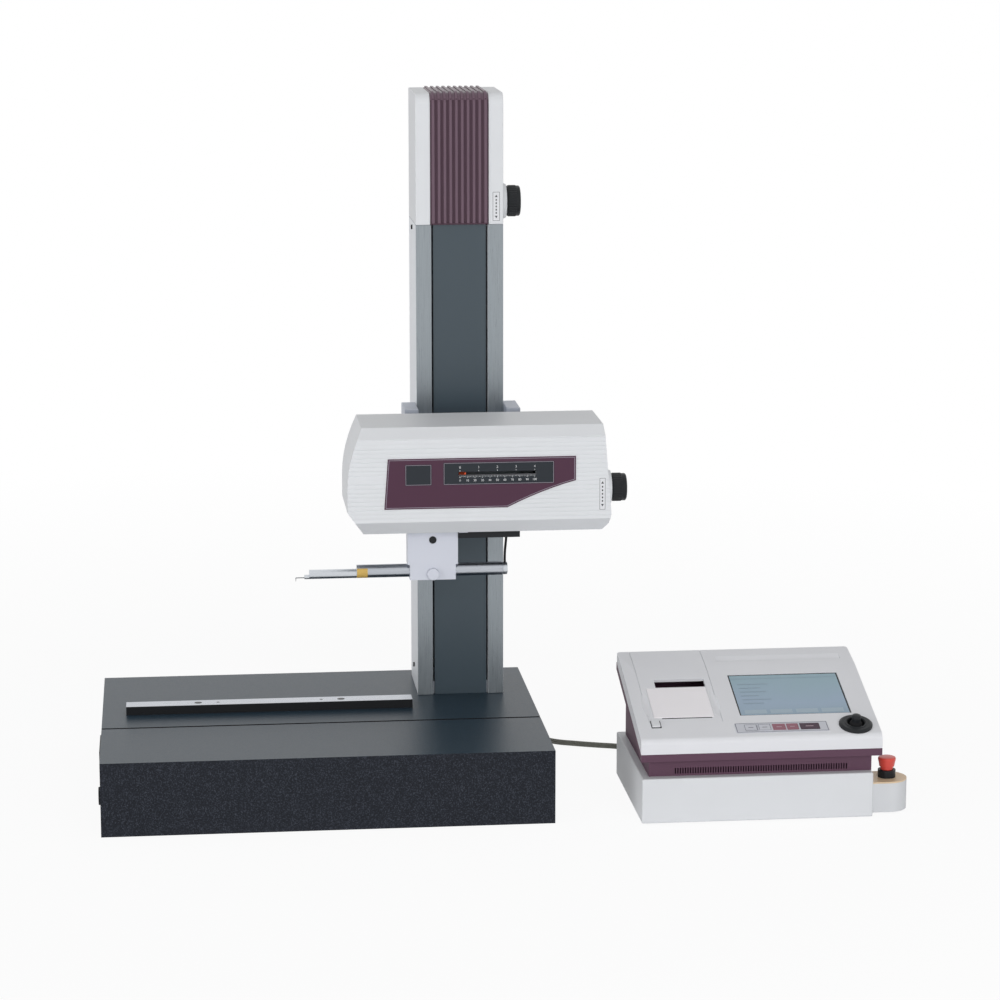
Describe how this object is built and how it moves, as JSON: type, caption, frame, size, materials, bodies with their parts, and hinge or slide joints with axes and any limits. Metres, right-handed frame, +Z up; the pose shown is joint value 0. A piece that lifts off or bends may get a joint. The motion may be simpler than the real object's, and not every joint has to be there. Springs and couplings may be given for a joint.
{
  "type": "surface roughness tester",
  "caption": "Bench surface roughness tester: granite base, motorised column with traverse unit and stylus detector, cabled to a sloping console with screen, printer, joystick and stop button.",
  "frame": {"origin": "middle of the granite base's underside, on the bench", "axes": "+X to the right as the user faces it, along the traverse; +Y away from the user; +Z up"},
  "size_m": [1.083, 0.5998, 0.948],
  "materials": {
    "granite": "polished top, matte sides",
    "black_plastic": "moulded",
    "ground_steel": "ground",
    "black_steel": "black oxide",
    "rail_steel": "brushed",
    "slate_paint": "satin",
    "column_alloy": "satin",
    "white_plastic": "fine moulded texture",
    "burgundy_plastic": "satin",
    "carriage_paint": "satin",
    "bronze": "machined",
    "pointer_red": "satin",
    "detector_alloy": "satin",
    "lead_rubber": "matte",
    "cable_pvc": "matte",
    "stop_red": "gloss",
    "stop_yellow": "satin",
    "screen_glass": "satin",
    "board_green": "solder mask",
    "membrane": "satin film",
    "paper": "plain"
  },
  "bodies": {
    "stand": {"granite_base": "granite", "side_caps": "black_plastic", "alignment_bar": "ground_steel", "stand_screws": "black_steel", "column_rail_left": "rail_steel", "column_rail_right": "rail_steel", "column_cover": "slate_paint", "column_back": "column_alloy", "column_foot": "column_alloy", "head_plate": "column_alloy", "head_cover": "white_plastic", "head_rib_strip": "burgundy_plastic", "motor_bracket": "column_alloy", "z_motor": "black_plastic", "z_bearings": "ground_steel", "stand_cable_gland": "black_plastic", "link_cable": "cable_pvc", "link_plug": "black_plastic", "console_plinth": "white_plastic", "plinth_floor": "column_alloy", "rubber_feet": "lead_rubber", "power_supply": "column_alloy", "estop_pod": "white_plastic", "estop_plate": "stop_yellow", "estop_collar": "black_plastic", "console_lower_case": "burgundy_plastic", "console_top_case": "white_plastic", "screen_panel": "screen_glass", "main_board": "board_green", "key_overlay": "membrane", "printer_frame": "black_plastic", "paper_roll": "paper", "joystick_bezel": "black_plastic"},
    "z_carriage": {"carriage": "carriage_paint", "guide_pads": "bronze", "z_nut": "bronze", "drive_frame": "column_alloy", "drive_cover": "white_plastic", "front_panel": "burgundy_plastic", "panel_windows": "black_plastic", "x_rail": "ground_steel", "x_motor": "black_plastic"},
    "slider": {"x_slider": "black_plastic", "scale_pointer": "pointer_red", "detector_holder": "white_plastic", "holder_screws": "black_steel", "detector_tube": "ground_steel", "tube_end_cap": "black_plastic", "detector_body": "detector_alloy", "detector_lead": "lead_rubber"},
    "stylus": {"stylus_arm": "ground_steel"},
    "lifting_screw": {"z_screw": "ground_steel"},
    "lifting_knob": {"z_knob": "black_plastic"},
    "traverse_screw": {"x_screw": "ground_steel", "x_knob": "black_plastic"},
    "stop_button": {"estop_button": "stop_red"},
    "paper_lid": {"printer_lid": "white_plastic"},
    "latch": {"lid_latch": "white_plastic"},
    "gimbal": {"joystick_gimbal": "ground_steel"},
    "stick": {"joystick_stick": "black_plastic"}
  },
  "joints": [
    {"name": "z_slide", "type": "slide", "parent": "stand", "child": "z_carriage", "axis": [0, 0, 1], "range_m": [-0.18, 0.17]},
    {"name": "z_screw_turn", "type": "hinge", "parent": "stand", "child": "lifting_screw", "pos_m": [0.2025, 0.12, 0.45], "axis": [0, 0, 1], "continuous": true},
    {"name": "z_knob_turn", "type": "hinge", "parent": "stand", "child": "lifting_knob", "pos_m": [0.28, 0.12, 0.794], "axis": [1, 0, 0], "continuous": true},
    {"name": "x_slide", "type": "slide", "parent": "z_carriage", "child": "slider", "axis": [1, 0, 0], "range_m": [-0.007, 0.093]},
    {"name": "x_screw_turn", "type": "hinge", "parent": "z_carriage", "child": "traverse_screw", "pos_m": [0.4, -0.0853, 0.427], "axis": [1, 0, 0], "continuous": true},
    {"name": "stylus_pivot", "type": "hinge", "parent": "slider", "child": "stylus", "pos_m": [-0.0115, -0.0703, 0.30785], "axis": [0, 1, 0], "range_deg": [-1, 1], "stiffness_Nm_per_rad": 0.05},
    {"name": "stop_push", "type": "slide", "parent": "stand", "child": "stop_button", "axis": [0, 0, -1], "range_m": [0, 0.004], "stiffness_N_per_m": 1500},
    {"name": "paper_lid_hinge", "type": "hinge", "parent": "stand", "child": "paper_lid", "pos_m": [0.478, -0.1873, 0.12968], "axis": [1, 0, 0], "range_deg": [0, 100]},
    {"name": "latch_slide", "type": "slide", "parent": "stand", "child": "latch", "axis": [0, 0.9603, 0.279], "range_m": [0, 0.003]},
    {"name": "stick_tilt_x", "type": "hinge", "parent": "stand", "child": "gimbal", "pos_m": [0.705, -0.21836, 0.11649], "axis": [1, 0, 0], "range_deg": [-15, 15], "stiffness_Nm_per_rad": 0.2},
    {"name": "stick_tilt_y", "type": "hinge", "parent": "gimbal", "child": "stick", "pos_m": [0.705, -0.21836, 0.11649], "axis": [0, 0.9603, 0.279], "range_deg": [-15, 15], "stiffness_Nm_per_rad": 0.2}
  ],
  "couplings": [
    {"joint": "z_screw_turn", "follows": "z_slide", "rad_per_m": 628.32},
    {"joint": "z_knob_turn", "follows": "z_slide", "rad_per_m": 628.32},
    {"joint": "x_screw_turn", "follows": "x_slide", "rad_per_m": 628.32}
  ]
}
